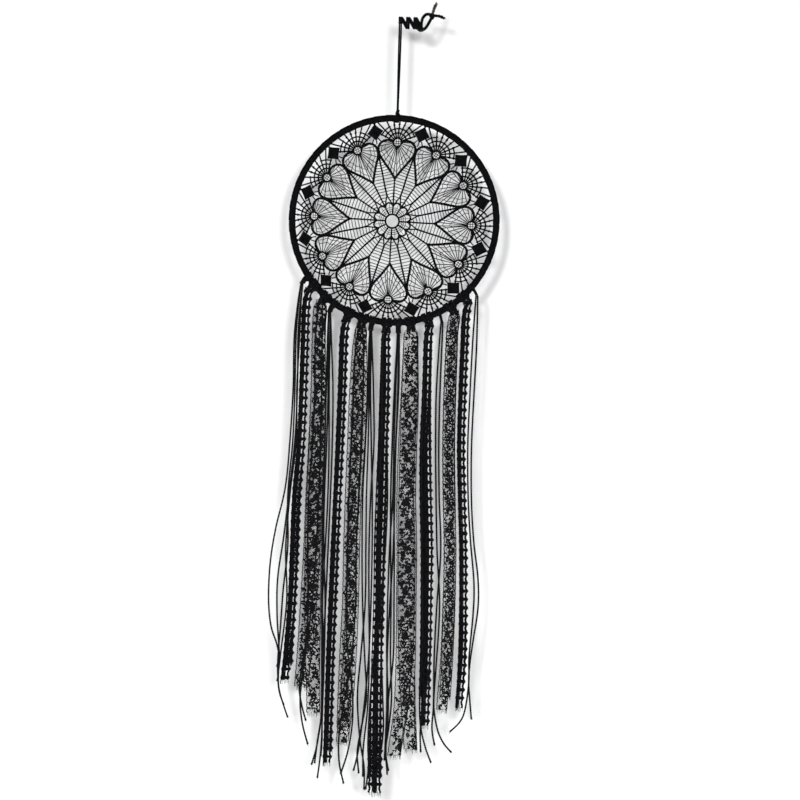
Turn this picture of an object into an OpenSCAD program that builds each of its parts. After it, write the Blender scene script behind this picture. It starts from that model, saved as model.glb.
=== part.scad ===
// Dream catcher: a tape-wrapped steel hoop that holds a crocheted doily, hung by a doubled cord
// that is wound and tied round a branch, with a fringe of folded lace trims and waxed cords.
// The origin is the branch's axis where the hanging cord drops from it. +Z is up, the face looks to -Y.

/* [Hoop] */
// Outside diameter over the wrapping
hoop_d = 200; // [198:0.5:202]
// Diameter of the wrapped rim
rim_d = 6.4; // [6:0.1:6.8]
// Wire diameter of the steel ring inside the wrapping
ring_wire_d = 3.2; // [2:0.1:4]

/* [Hanging cord] */
// Diameter of the branch that the turns grip
branch_d = 8; // [6:0.5:9]
// Diameter of one strand of the doubled cord
cord_d = 1.4; // [1:0.1:1.5]
// Drop from the branch's axis to the top of the hoop
drop = 88; // [86:0.5:90]
// Number of doubled turns round the branch
turns = 3; // [3:1:3]
// Distance between two turns along the branch
turn_pitch = 7; // [6:0.5:7]

/* [Doily] */
// Number of heart petals in the doily
petals = 12; // [10:1:14]
// Thickness of the crocheted work
doily_t = 1; // [0.8:0.1:1.2]
// Width of an ordinary thread
thread_w = 1.1; // [0.8:0.1:1.2]
// Width of the threads that outline the hearts
outline_w = 1.8; // [1.4:0.1:2]

/* [Fringe] */
// Thickness of a lace trim
lace_t = 0.7; // [0.5:0.1:0.8]
// Distance between the front and back halves of a folded trim
lace_gap = 3.2; // [2.8:0.1:3.4]
// Diameter of a fringe cord
strand_d = 1; // [0.8:0.1:1]

/* [Hidden] */
$fn = 48;

black = "#17171a";
black_wax = "#1c1c20";
black_lace = "#202024";
steel = "#8d9196";

branch_r = branch_d / 2;
turn_w = 2 * cord_d;
plane_y = -(branch_r + cord_d / 2);  // the hoop and the fringe hang in this plane, in front of the branch
rim_r = hoop_d / 2 - rim_d / 2;      // radius of the rim's own centre line
hoop_z = -(drop + hoop_d / 2);       // height of the hoop's centre
inner_r = hoop_d / 2 - rim_d;
swing_z = -4;                        // the cord swings fore and aft here
sway_z = -12;                        // and sideways here
twist_z = -84;                       // and the hoop twists here
joint_gap = 1.4;                     // room left free at each end of a piece of the hanging cord
knot_r = 104.5;                      // distance of each tassel's swing axis from the hoop's centre
neck_t = 4.4;                        // thickness of a knot's neck, fore and aft
loop_t = 1.1;                        // thickness of the material looped over the rim

// Angle of each knot from the hoop's lowest point, positive to the right, seen from the front
LACE_ANGLES = [-49, -40, -24, -15.7, -2.3, 10.7, 20.6, 35, 44];
CORD_ANGLES = [-54.8, -34, -10.5, 4, 27.5, 50.5];

// Heights at which the fringe's lace trims have a stated place and width
LEVELS = [-750, -700, -650, -600, -550, -500, -450, -400, -350, -300];
// Each trim: angle of its knot, width, front half's x, back half's x, front end, back end
TRIM_2 = [
    -49, [8.5, 8.5, 8.5, 8.5, 8.5, 8.5, 8.5, 8.5, 8.5, 8.5],
    [-91, -91, -91, -87.5, -85, -84.5, -84, -81, -80.5, -80.5],
    [-86.5, -86.5, -86.5, -86, -84.5, -83.5, -83, -81, -80.5, -80.5], -629, -615
];
LACE_3 = [
    -40, [12, 12, 12, 13, 14, 14, 14, 13.5, 13, 12],
    [-62, -62, -62, -64.5, -66.5, -67.5, -67.5, -67, -67, -68],
    [-75, -75, -75, -72.2, -70.2, -68.8, -68.4, -67.5, -67, -68], -659, -635
];
TRIM_5 = [
    -24, [8.5, 8.5, 8.5, 8.5, 8.5, 8.5, 8.5, 8.5, 8.5, 8.5],
    [-47, -47, -47, -47, -46.5, -46, -45, -44.5, -44, -44],
    [-46, -46, -46.5, -46.5, -46, -45.5, -45, -44, -43.5, -43.5], -706, -695
];
LACE_6 = [
    -15.7, [11, 11, 12, 12, 12, 12, 12, 12, 12, 11],
    [-35, -35, -31.5, -29.5, -29, -29.5, -29.5, -28, -27.5, -28],
    [-33.5, -33.5, -33.5, -33, -32, -32.5, -32.5, -32, -31.5, -30], -686, -672
];
TRIM_8 = [
    -2.3, [14, 14, 12, 11, 11, 11, 11, 10, 10, 9],
    [0, -1.5, -2.2, -2.5, -2.5, -3.5, -3.5, -3.5, -3.5, -4.2],
    [0, -1, -2, -2.5, -2.5, -3, -3, -3, -3, -4], -733, -718
];
LACE_10 = [
    10.7, [12, 12.5, 14, 16, 17, 17, 16, 16, 16, 14],
    [15, 15.5, 21, 22.5, 21.5, 20.5, 18.5, 18.5, 19.5, 19.4],
    [32, 32, 28, 25, 23, 22, 20.5, 20, 20, 19.6], -697, -691
];
TRIM_11 = [
    20.6, [9, 9, 9, 9, 9, 9, 9, 9, 8.5, 8.5],
    [44.5, 44.5, 44.5, 44.5, 44, 43, 40.5, 38, 36.5, 35.8],
    [42, 42, 42, 42, 41, 39.5, 37, 35.5, 36, 36], -668, -640
];
LACE_13 = [
    35, [10, 10, 10, 10.5, 11, 11, 11, 11, 11, 10.5],
    [59.5, 59.5, 59.5, 62, 62.5, 62.3, 59.5, 57.5, 57, 57.5],
    [62, 62, 62, 63, 63, 62.2, 60, 58, 57.5, 58], -652, -640
];
TRIM_14 = [
    44, [7.5, 7.5, 7.5, 8, 8, 8, 8, 8, 8, 8],
    [76.5, 76.5, 76.5, 78.5, 77.5, 75.8, 73.2, 70.6, 70.4, 70.8],
    [77, 77, 77, 78, 77.5, 76, 73.2, 70.8, 70.6, 71.2], -650, -635
];

// Route of each fringe cord from its knot to its cut end
CORD_1_A = [
    [-86.2, -5.6, -250], [-88.5, -6.4, -268], [-91, -7.1, -302], [-90.5, -7.1, -350], [-92, -7.1, -400],
    [-95, -7.1, -444], [-103, -7.1, -484], [-107, -7.1, -516], [-107.5, -7.1, -550], [-104.5, -7.1, -575],
    [-98.5, -7.1, -592], [-96, -7.1, -604], [-97.5, -7.1, -614]
];
CORD_1_B = [
    [-84.6, -5.6, -250], [-86.2, -5.6, -268], [-87.5, -5.5, -302], [-86.5, -5.5, -350], [-87.5, -5.5, -400],
    [-91.5, -5.5, -450], [-95, -5.5, -490], [-99.5, -5.5, -530], [-99, -5.5, -565], [-96, -5.5, -600],
    [-95.5, -5.5, -633], [-90, -5.5, -650]
];
CORD_1_C = [
    [-86.2, -3.8, -250], [-88, -3.8, -268], [-89.5, -3.9, -302], [-89, -3.9, -350], [-89.5, -3.9, -400],
    [-92.5, -3.9, -450], [-91, -3.9, -500], [-94, -3.9, -540], [-95.5, -3.9, -575], [-97, -3.9, -610],
    [-94.8, -3.9, -636], [-86, -3.9, -662]
];
CORD_1_D = [
    [-84.6, -3.8, -250], [-85.8, -3.2, -268], [-86.2, -2.3, -302], [-87.2, -2.3, -350], [-86.3, -2.3, -400],
    [-90.5, -2.3, -450], [-93, -2.3, -500], [-90.5, -2.3, -550], [-94.5, -2.3, -600], [-97, -2.3, -628]
];
CORD_3_A = [
    [-69, -7.8, -271], [-71, -8, -302], [-70, -8, -350], [-70.5, -8, -400], [-72.5, -8, -450],
    [-72, -8, -500], [-70, -8, -550], [-70.5, -8, -585], [-75.5, -8, -628], [-73.5, -8, -647],
    [-68.5, -8, -664]
];
CORD_3_B = [
    [-65.4, -7.8, -271], [-64.5, -9.4, -302], [-63.5, -9.4, -350], [-63, -9.4, -400], [-63, -9.4, -450],
    [-64, -9.4, -500], [-66, -9.4, -550], [-71, -9.4, -600], [-74.5, -9.4, -640], [-72, -9.4, -665],
    [-66, -9.4, -686]
];
CORD_4_A = [
    [-59.2, -5.6, -277], [-59.5, -6.8, -302], [-59.2, -7.1, -350], [-58.8, -7.1, -400], [-58.8, -7.1, -450],
    [-58, -7.1, -500], [-57, -7.1, -550], [-55.5, -7.1, -600], [-54.2, -7.1, -645], [-54.4, -7.1, -662],
    [-57, -7.1, -683], [-59, -7.1, -704]
];
CORD_4_B = [
    [-57.6, -5.6, -277], [-57.3, -5.5, -302], [-56.5, -5.5, -350], [-55, -5.5, -400], [-54.5, -5.5, -450],
    [-55.5, -5.5, -500], [-56.5, -5.5, -550], [-54, -5.5, -600], [-53.2, -5.5, -650], [-53.5, -5.5, -690],
    [-56, -5.5, -718]
];
CORD_4_C = [
    [-59.2, -3.8, -277], [-59, -3.9, -302], [-57.5, -3.9, -350], [-57.2, -3.9, -400], [-57.8, -3.9, -450],
    [-57, -3.9, -500], [-54, -3.9, -550], [-53.2, -3.9, -600], [-53.5, -3.9, -650], [-57, -3.9, -685],
    [-62, -3.9, -706]
];
CORD_4_D = [
    [-57.6, -3.8, -277], [-56, -3, -302], [-53, -2.3, -350], [-52, -2.3, -400], [-52.2, -2.3, -450],
    [-52.8, -2.3, -500], [-53.5, -2.3, -550], [-54.5, -2.3, -600], [-54.2, -2.3, -645], [-52.8, -2.3, -680],
    [-53.5, -2.3, -698]
];
CORD_6_A = [
    [-30, -7.8, -292], [-32.5, -8, -310], [-33.5, -8, -350], [-34, -8, -400], [-34.5, -8, -450],
    [-34, -8, -500], [-33.5, -8, -550], [-32, -8, -590], [-28, -8, -615], [-25, -8, -640],
    [-24.5, -8, -665], [-28, -8, -692], [-34, -8, -713]
];
CORD_6_B = [
    [-26.6, -7.8, -292], [-25, -9.2, -310], [-24.2, -9.4, -350], [-24, -9.4, -400], [-25, -9.4, -450],
    [-26, -9.4, -500], [-25, -9.4, -550], [-27, -9.4, -600], [-32, -9.4, -640], [-36.5, -9.4, -672],
    [-36, -9.4, -700], [-31, -9.4, -722]
];
CORD_7_A = [
    [-19.8, -5.6, -293], [-20.3, -6.4, -310], [-19.8, -7.1, -350], [-20.5, -7.1, -400], [-21.5, -7.1, -450],
    [-20.5, -7.1, -500], [-18.5, -7.1, -550], [-15, -7.1, -600], [-12, -7.1, -640], [-16, -7.1, -670],
    [-19, -7.1, -692], [-17, -7.1, -712]
];
CORD_7_B = [
    [-18.2, -5.6, -293], [-18, -5.5, -310], [-17.3, -5.5, -350], [-15, -5.5, -400], [-12.5, -5.5, -450],
    [-11, -5.5, -500], [-10.5, -5.5, -550], [-11, -5.5, -600], [-14, -5.5, -650], [-18, -5.5, -690],
    [-22, -5.5, -710]
];
CORD_7_C = [
    [-19.8, -3.8, -293], [-19.5, -3.9, -310], [-18.5, -3.9, -350], [-18, -3.9, -400], [-18, -3.9, -450],
    [-17, -3.9, -500], [-16, -3.9, -550], [-18.5, -3.9, -600], [-20.5, -3.9, -640], [-17, -3.9, -680],
    [-12.2, -3.9, -706], [-11.5, -3.9, -728]
];
CORD_7_D = [
    [-18.2, -3.8, -293], [-17, -3.2, -310], [-14.5, -2.3, -350], [-12.5, -2.3, -400], [-14, -2.3, -450],
    [-14, -2.3, -500], [-12.5, -2.3, -550], [-10.6, -2.3, -600], [-10.6, -2.3, -650], [-13.5, -2.3, -690],
    [-13, -2.3, -716]
];
CORD_8_A = [
    [-6, -7.8, -296], [-7.2, -8, -320], [-6, -8, -350], [-5, -8, -400], [-6.5, -8, -450],
    [-4, -8, -500], [-2, -8, -550], [-6, -8, -600], [-8.3, -8, -640], [-9.2, -8, -680],
    [-8, -8, -706], [-10, -8, -727]
];
CORD_8_B = [
    [-2.4, -7.8, -296], [-1.2, -9.2, -320], [-1, -9.4, -350], [0, -9.4, -400], [2, -9.4, -450],
    [1.5, -9.4, -500], [-1, -9.4, -550], [1, -9.4, -600], [3.5, -9.4, -640], [5, -9.4, -670],
    [2, -9.4, -700], [-4, -9.4, -724]
];
CORD_9_A = [
    [6.5, -5.6, -294.5], [6.2, -6.4, -312], [5.2, -7.1, -350], [4.8, -7.1, -400], [5, -7.1, -450],
    [6.5, -7.1, -500], [8.5, -7.1, -550], [9.5, -7.1, -600], [11.8, -7.1, -640], [10, -7.1, -668],
    [7.8, -7.1, -690], [11, -7.1, -709]
];
CORD_9_B = [
    [8.1, -5.6, -294.5], [8.2, -5.5, -312], [8.5, -5.5, -350], [8.3, -5.5, -400], [8, -5.5, -450],
    [10, -5.5, -500], [11.3, -5.5, -550], [12.3, -5.5, -600], [9, -5.5, -640], [8, -5.5, -670],
    [7.4, -5.5, -695]
];
CORD_9_C = [
    [6.5, -3.8, -294.5], [6.6, -3.9, -312], [6.5, -3.9, -350], [6.5, -3.9, -400], [7, -3.9, -450],
    [5.5, -3.9, -500], [5.2, -3.9, -550], [6, -3.9, -600], [9, -3.9, -650], [8.1, -3.9, -690],
    [10, -3.9, -713]
];
CORD_9_D = [
    [8.1, -3.8, -294.5], [8.7, -3.2, -312], [9.3, -2.3, -350], [8.3, -2.3, -400], [8.8, -2.3, -450],
    [9, -2.3, -500], [7.5, -2.3, -550], [6.5, -2.3, -600], [7.5, -2.3, -650], [7.2, -2.3, -685],
    [6.9, -2.3, -700]
];
CORD_11_A = [
    [35, -7.8, -289], [33.5, -8, -310], [33, -8, -350], [33, -8, -400], [34, -8, -450],
    [36, -8, -500], [38.5, -8, -550], [40, -8, -600], [38.5, -8, -640], [40, -8, -665],
    [45, -8, -685], [51, -8, -700]
];
CORD_11_B = [
    [38.6, -7.8, -289], [39, -9.2, -310], [39.5, -9.4, -350], [41, -9.4, -400], [43, -9.4, -450],
    [45.5, -9.4, -500], [46, -9.4, -550], [47, -9.4, -600], [43, -9.4, -640], [40, -9.4, -668],
    [41, -9.4, -690]
];
CORD_12_A = [
    [47.5, -5.2, -283], [46.5, -5.6, -302], [45, -5.6, -350], [46, -5.6, -400], [48, -5.6, -450],
    [50.5, -5.6, -500], [54, -5.6, -540], [54.5, -5.6, -570], [53, -5.6, -610], [52, -5.6, -645],
    [56, -5.6, -668], [62, -5.6, -681], [70, -5.6, -690]
];
CORD_12_B = [
    [49.1, -4.2, -283], [49, -3.8, -302], [48.5, -3.8, -350], [49, -3.8, -400], [51, -3.8, -450],
    [54, -3.8, -500], [52, -3.8, -550], [51, -3.8, -600], [51.8, -3.8, -645], [51, -3.8, -668],
    [54, -3.8, -684]
];
CORD_15_A = [
    [81.4, -5.2, -257], [81.8, -5.6, -302], [80.8, -5.6, -350], [80, -5.6, -400], [81.5, -5.6, -450],
    [85, -5.6, -490], [90, -5.6, -524], [91, -5.6, -552], [87.5, -5.6, -582], [85, -5.6, -605],
    [84.5, -5.6, -625], [88, -5.6, -658]
];
CORD_15_B = [
    [79.8, -4.2, -257], [78, -3.8, -302], [77, -3.8, -350], [76.5, -3.8, -400], [78.5, -3.8, -450],
    [82, -3.8, -490], [86.5, -3.8, -530], [86.5, -3.8, -560], [84, -3.8, -600], [84.5, -3.8, -625],
    [80, -3.8, -656], [68, -3.8, -671]
];

// Routes of the last, loose turn, of the side that comes back from its knot, and of the knot's two tails
HANGER_LOOP = [
    [14, -5.3, -1], [15.5, -5.3, -4.5], [19, -5.3, -7.5], [23.5, -5.5, -5.5], [27, -5.6, 0], [29, -5, 4.4]
];
HANGER_RETURN = [
    [28.6, -5.2, 7.5], [26.5, -5.3, 8.1], [23.6, -5.4, 7.4], [20.9, -5.5, 4], [19.9, -5.5, -1], [20, -5.4, -5.2]
];
HANGER_TAIL_A = [[30, -4.7, 8.4], [31, -5, 11.5], [31.8, -5.6, 14.5], [33, -6, 17.3]];
HANGER_TAIL_B = [[31.6, -4.7, 6.6], [34.5, -5, 6.8], [37.5, -5.6, 6.2], [40, -6, 5.1]];

function unit(v) = v / norm(v);
function reversed(list) = [for (i = [len(list) - 1:-1:0]) list[i]];
function clamped(i, list) = list[max(0, min(len(list) - 1, i))];

// A point of the smooth curve through four neighbouring route points
function between(p0, p1, p2, p3, t) = 0.5 * (
    2 * p1 + (p2 - p0) * t + (2 * p0 - 5 * p1 + 4 * p2 - p3) * t * t
    + (3 * p1 - p0 - 3 * p2 + p3) * t * t * t
);
function smooth(route, steps) = [
    for (i = [0:len(route) - 2])
        for (s = [0:steps - 1])
            between(
                clamped(i - 1, route), route[i], route[i + 1], clamped(i + 2, route), s / steps
            ),
    route[len(route) - 1]
];
function heading(line, i) = unit(clamped(i + 1, line) - clamped(i - 1, line));
function ring(p, along, r, sides) =
    let (a = unit(cross(along, [0, 1, 0])), b = cross(along, a))
    [for (k = [0:sides - 1]) p + r * (cos(360 * k / sides) * a + sin(360 * k / sides) * b)];

// A round tube swept along a route
module tube(route, d, steps = 2, sides = 8) {
    line = smooth(route, steps);
    last = len(line) - 1;
    points = [for (i = [0:last]) each ring(line[i], heading(line, i), d / 2, sides)];
    walls = [
        for (i = [0:last - 1], k = [0:sides - 1])
            let (a = i * sides + k, b = i * sides + (k + 1) % sides)
            each [[a, b, b + sides], [a, b + sides, a + sides]]
    ];
    start_cap = [for (k = [sides - 1:-1:0]) k];
    end_cap = [for (k = [0:sides - 1]) last * sides + k];
    polyhedron(points = points, faces = concat(walls, [start_cap], [end_cap]), convexity = 10);
}

// --- hanger on the branch ---

module hanger_coil() {
    color(black_wax)
    for (i = [0:turns - 1])
        translate([i * turn_pitch, 0, 0]) rotate([0, 90, 0]) rotate_extrude()
            translate([branch_r, -turn_w / 2]) square([cord_d, turn_w]);
}

module hanger_loop() {
    color(black_wax) tube(HANGER_LOOP, turn_w * 0.8, 3, 12);
    color(black_wax) tube(HANGER_RETURN, turn_w * 0.7, 3, 12);
}

module hanger_knot() {
    knot_d = 4.8;
    color(black_wax) translate([29.8, plane_y, 6.4]) sphere(d = knot_d);
}

module hanger_tail(route) {
    color(black_wax) tube(route, 2, 3, 12);
}

// --- hanging cord ---

module cord_length(x, top, bottom) {
    translate([x, plane_y, bottom]) cylinder(d = cord_d, h = top - bottom);
}

module hanging_cord_top() {
    pressed = 0.1;                   // the two strands are pressed together here
    color(black_wax)
    for (side = [-1, 1])
        cord_length(side * (cord_d / 2 - pressed), swing_z - joint_gap, sway_z + joint_gap / 2);
}

module hanging_strand(side) {
    slit = 0.04;                     // the gap between the two strands
    color(black_wax)
    cord_length(side * (cord_d + slit) / 2, sway_z - joint_gap / 2, twist_z + joint_gap / 2);
}

module ring_knot() {
    knot_r_own = 1.6;
    color(black_wax) {
        translate([0, plane_y, hoop_z + rim_r]) rotate([0, 90, 0]) rotate_extrude()
            translate([rim_d / 2 + 0.05, -turn_w / 2]) square([cord_d, turn_w]);
        translate([0, plane_y, twist_z - joint_gap / 2 - knot_r_own]) sphere(r = knot_r_own);
    }
}

// --- hoop ---

module at_hoop() {
    translate([0, plane_y, hoop_z]) rotate([90, 0, 0]) children();
}

module hoop_ring() {
    color(steel) at_hoop() rotate_extrude($fn = 96) translate([rim_r, 0]) circle(d = ring_wire_d);
}

module hoop_wrap() {
    wall_clearance = 0.02;
    color(black) at_hoop() rotate_extrude($fn = 96) translate([rim_r, 0]) difference() {
        circle(d = rim_d);
        circle(d = ring_wire_d + 2 * wall_clearance);
    }
}

// --- doily, drawn in the hoop's plane with sector fractions: r is a share of the inner radius, ---
// --- and f is a share of half a petal's angle, so that every petal fits any number of petals ---

half_angle = 180 / petals;
pattern_turn = -1.6;                 // the pattern sits slightly turned in its hoop
function polar(r, angle) = [r * sin(angle), r * cos(angle)];
function spot(r, f) = polar(r * inner_r, f * half_angle);
HEART = [[0.433, 0], [0.53, 0.47], [0.62, 0.8], [0.685, 0.95], [0.75, 0.96], [0.797, 0.83], [0.822, 0.55],
    [0.817, 0.36], [0.796, 0.19]];
heart_ring_r = 0.797;                // centre of the small ring in a heart's notch
small_ring_r = 3.9;
net_reach = 28;                      // length of a net's threads, cut off at the rim

function side_of(pts, i, half) =
    let (d = unit(clamped(i + 1, pts) - clamped(i - 1, pts)))
    pts[i] + half * [-d[1], d[0]];

module thread(pts, w) {
    left = [for (i = [0:len(pts) - 1]) side_of(pts, i, w / 2)];
    right = [for (i = [0:len(pts) - 1]) side_of(pts, i, -w / 2)];
    polygon(concat(left, reversed(right)));
}

module hoop_of_thread(r, w) {
    difference() {
        circle(r = r + w / 2, $fn = 24);
        circle(r = r - w / 2, $fn = 24);
    }
}

module heart_half(side) {
    thread([for (p = HEART) spot(p[0], side * p[1])], outline_w);
}

module net() {
    centre = spot(heart_ring_r, 0);
    translate(centre) hoop_of_thread(small_ring_r, thread_w * 0.8);
    for (a = [-50, 0, 50])
        thread([centre + polar(small_ring_r, a), centre + polar(net_reach, a)], thread_w);
}

module petal() {
    tip = spot(0.433, 0);
    node_spot = spot(0.157, 0);
    thread([spot(0.07, 0), node_spot], thread_w);
    thread([node_spot, tip], thread_w);
    thread([for (f = [0:0.5:2]) spot(0.157 + 0.032 * sin(90 * f), f)], thread_w);
    for (side = [-1, 1]) {
        thread([node_spot, spot(0.263, side)], thread_w * 0.8);
        heart_half(side);
    }
    thread([spot(0.263, 1), spot(0.86, 1)], thread_w);
    net();
    diamond();
}

module diamond() {
    half_diagonal = 7;
    link = 3;
    rotate(-half_angle) translate([0, 0.913 * inner_r]) {
        circle(r = half_diagonal, $fn = 4);
        thread([[0, half_diagonal - 1], [0, half_diagonal + link]], thread_w);
    }
}

module crochet_doily() {
    seam = 0.4;                      // how far the threads reach into the rim's wrapping
    color(black) at_hoop() linear_extrude(doily_t, center = true) offset(delta = 0.01) intersection() {
        circle(r = inner_r + seam, $fn = 96);
        rotate(pattern_turn) {
            hoop_of_thread(0.069 * inner_r, thread_w);
            for (i = [0:petals - 1]) rotate(i * 360 / petals) petal();
        }
    }
}

// --- loops that hold the fringe on the rim ---

// A loop round the rim and the neck of its knot, at an angle from the hoop's lowest point
module knot(angle, loop_w, neck_w) {
    neck_end = knot_r - 0.5;
    translate([0, plane_y, hoop_z]) rotate([0, -angle, 0]) {
        translate([0, 0, -rim_r]) rotate([0, 90, 0]) rotate_extrude()
            translate([rim_d / 2 + 0.08, -loop_w / 2]) square([loop_t, loop_w]);
        translate([-neck_w / 2, -neck_t / 2, -neck_end])
            cube([neck_w, neck_t, neck_end - rim_r - rim_d / 2 - loop_t / 2]);
    }
}

module lace_loops() {
    color(black_lace) for (a = LACE_ANGLES) knot(a, 7, 6);
}

module cord_loops() {
    color(black_wax) for (a = CORD_ANGLES) knot(a, 5, 3.6);
}

// --- fringe ---

function at_level(z, row) = lookup(z, [for (i = [0:len(LEVELS) - 1]) [LEVELS[i], row[i]]]);

// One hanging half of a folded lace trim, front = 1 or back = 0
module lace_half(trim, front) {
    angle = trim[0];
    x_row = front ? trim[2] : trim[3];
    end_z = front ? trim[4] : trim[5];
    knot_at = [knot_r * sin(angle), hoop_z - knot_r * cos(angle)];
    top_z = knot_at[1] - 1.7 - 2.8 * abs(sin(angle));
    shoulder_z = top_z - 9;
    neck_w = 5.6;
    heights = [for (z = reversed(LEVELS)) if (z < shoulder_z - 2 && z > end_z + 2) z];
    rows = concat(
        [[knot_at[0], top_z, neck_w]],
        [[(knot_at[0] + at_level(shoulder_z, x_row)) / 2, shoulder_z, at_level(shoulder_z, trim[1]) - 1]],
        [for (z = heights) [at_level(z, x_row), z, at_level(z, trim[1])]],
        [[at_level(end_z, x_row), end_z, at_level(end_z, trim[1])]]
    );
    left = [for (p = rows) [p[0] - p[2] / 2, p[1]]];
    right = [for (p = rows) [p[0] + p[2] / 2, p[1]]];
    color(black_lace)
    translate([0, plane_y + (front ? -1 : 1) * lace_gap / 2, 0])
        rotate([90, 0, 0]) linear_extrude(lace_t, center = true) polygon(concat(left, reversed(right)));
}

module strand(route) {
    color(black_wax) tube(route, strand_d);
}

hanger_coil();
hanger_loop();
hanger_knot();
hanger_tail(HANGER_TAIL_A);  // hanger_tail_a
hanger_tail(HANGER_TAIL_B);  // hanger_tail_b
hanging_cord_top();
hanging_strand(-1);  // hanging_strand_left
hanging_strand(1);  // hanging_strand_right
ring_knot();
hoop_ring();
hoop_wrap();
crochet_doily();
lace_loops();
cord_loops();
lace_half(TRIM_2, true);  // trim_2_front
lace_half(TRIM_2, false);  // trim_2_back
lace_half(LACE_3, true);  // lace_3_front
lace_half(LACE_3, false);  // lace_3_back
lace_half(TRIM_5, true);  // trim_5_front
lace_half(TRIM_5, false);  // trim_5_back
lace_half(LACE_6, true);  // lace_6_front
lace_half(LACE_6, false);  // lace_6_back
lace_half(TRIM_8, true);  // trim_8_front
lace_half(TRIM_8, false);  // trim_8_back
lace_half(LACE_10, true);  // lace_10_front
lace_half(LACE_10, false);  // lace_10_back
lace_half(TRIM_11, true);  // trim_11_front
lace_half(TRIM_11, false);  // trim_11_back
lace_half(LACE_13, true);  // lace_13_front
lace_half(LACE_13, false);  // lace_13_back
lace_half(TRIM_14, true);  // trim_14_front
lace_half(TRIM_14, false);  // trim_14_back
strand(CORD_1_A);  // cord_1_a
strand(CORD_1_B);  // cord_1_b
strand(CORD_1_C);  // cord_1_c
strand(CORD_1_D);  // cord_1_d
strand(CORD_3_A);  // cord_3_a
strand(CORD_3_B);  // cord_3_b
strand(CORD_4_A);  // cord_4_a
strand(CORD_4_B);  // cord_4_b
strand(CORD_4_C);  // cord_4_c
strand(CORD_4_D);  // cord_4_d
strand(CORD_6_A);  // cord_6_a
strand(CORD_6_B);  // cord_6_b
strand(CORD_7_A);  // cord_7_a
strand(CORD_7_B);  // cord_7_b
strand(CORD_7_C);  // cord_7_c
strand(CORD_7_D);  // cord_7_d
strand(CORD_8_A);  // cord_8_a
strand(CORD_8_B);  // cord_8_b
strand(CORD_9_A);  // cord_9_a
strand(CORD_9_B);  // cord_9_b
strand(CORD_9_C);  // cord_9_c
strand(CORD_9_D);  // cord_9_d
strand(CORD_11_A);  // cord_11_a
strand(CORD_11_B);  // cord_11_b
strand(CORD_12_A);  // cord_12_a
strand(CORD_12_B);  // cord_12_b
strand(CORD_15_A);  // cord_15_a
strand(CORD_15_B);  // cord_15_b
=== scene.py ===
"""Dream catcher: the visible pieces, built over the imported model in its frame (metres, +Z up, face to -Y).

Shapes are worked out in millimetres, and make_piece turns them into metres.
"""
import math

import bpy
import numpy as np
from mathutils import Matrix


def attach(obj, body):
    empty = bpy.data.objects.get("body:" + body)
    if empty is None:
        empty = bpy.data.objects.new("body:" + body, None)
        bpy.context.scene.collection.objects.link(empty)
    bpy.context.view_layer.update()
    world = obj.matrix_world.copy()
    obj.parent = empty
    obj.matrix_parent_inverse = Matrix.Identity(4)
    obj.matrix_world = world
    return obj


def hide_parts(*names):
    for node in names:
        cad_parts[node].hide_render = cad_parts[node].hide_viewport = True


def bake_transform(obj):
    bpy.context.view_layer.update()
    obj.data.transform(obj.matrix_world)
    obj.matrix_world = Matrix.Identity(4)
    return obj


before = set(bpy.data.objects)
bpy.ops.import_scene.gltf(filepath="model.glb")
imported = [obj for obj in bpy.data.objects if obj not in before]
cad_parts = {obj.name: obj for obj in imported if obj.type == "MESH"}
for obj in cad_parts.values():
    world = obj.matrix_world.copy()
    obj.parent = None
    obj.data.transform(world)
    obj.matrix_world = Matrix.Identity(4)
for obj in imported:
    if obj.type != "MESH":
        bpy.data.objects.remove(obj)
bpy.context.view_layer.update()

MM = 0.001
PLANE_Y = -4.7          # the plane in which the hoop and the fringe hang
HOOP_Z = -188           # height of the hoop's centre
RIM_R = 96.8            # radius of the rim's own centre line
RIM_HALF = 3.2          # half the rim's thickness
INNER_R = 93.6          # inside of the rim
KNOT_R = 104.5          # distance of the tassels' swing axes from the hoop's centre
LEVELS = list(range(-750, -299, 50))        # heights at which the trims' widths and places are given

# Tassel: angle of its knot from the hoop's lowest point, in degrees, positive to the right
TASSEL_ANGLES = {1: -54.8, 2: -49, 3: -40, 4: -34, 5: -24, 6: -15.7, 7: -10.5, 8: -2.3, 9: 4, 10: 10.7,
                 11: 20.6, 12: 27.5, 13: 35, 14: 44, 15: 50.5}
CORD_TASSELS = (1, 4, 7, 9, 12, 15)


def hung(first, second, layer, *places):
    """Points in metres from (across, height) places. The first two have depths of their own."""
    depths = [first, second] + [layer] * (len(places) - 2)
    return [tuple(round(v * MM, 5) for v in (x, y, z)) for (x, z), y in zip(places, depths)]


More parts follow.
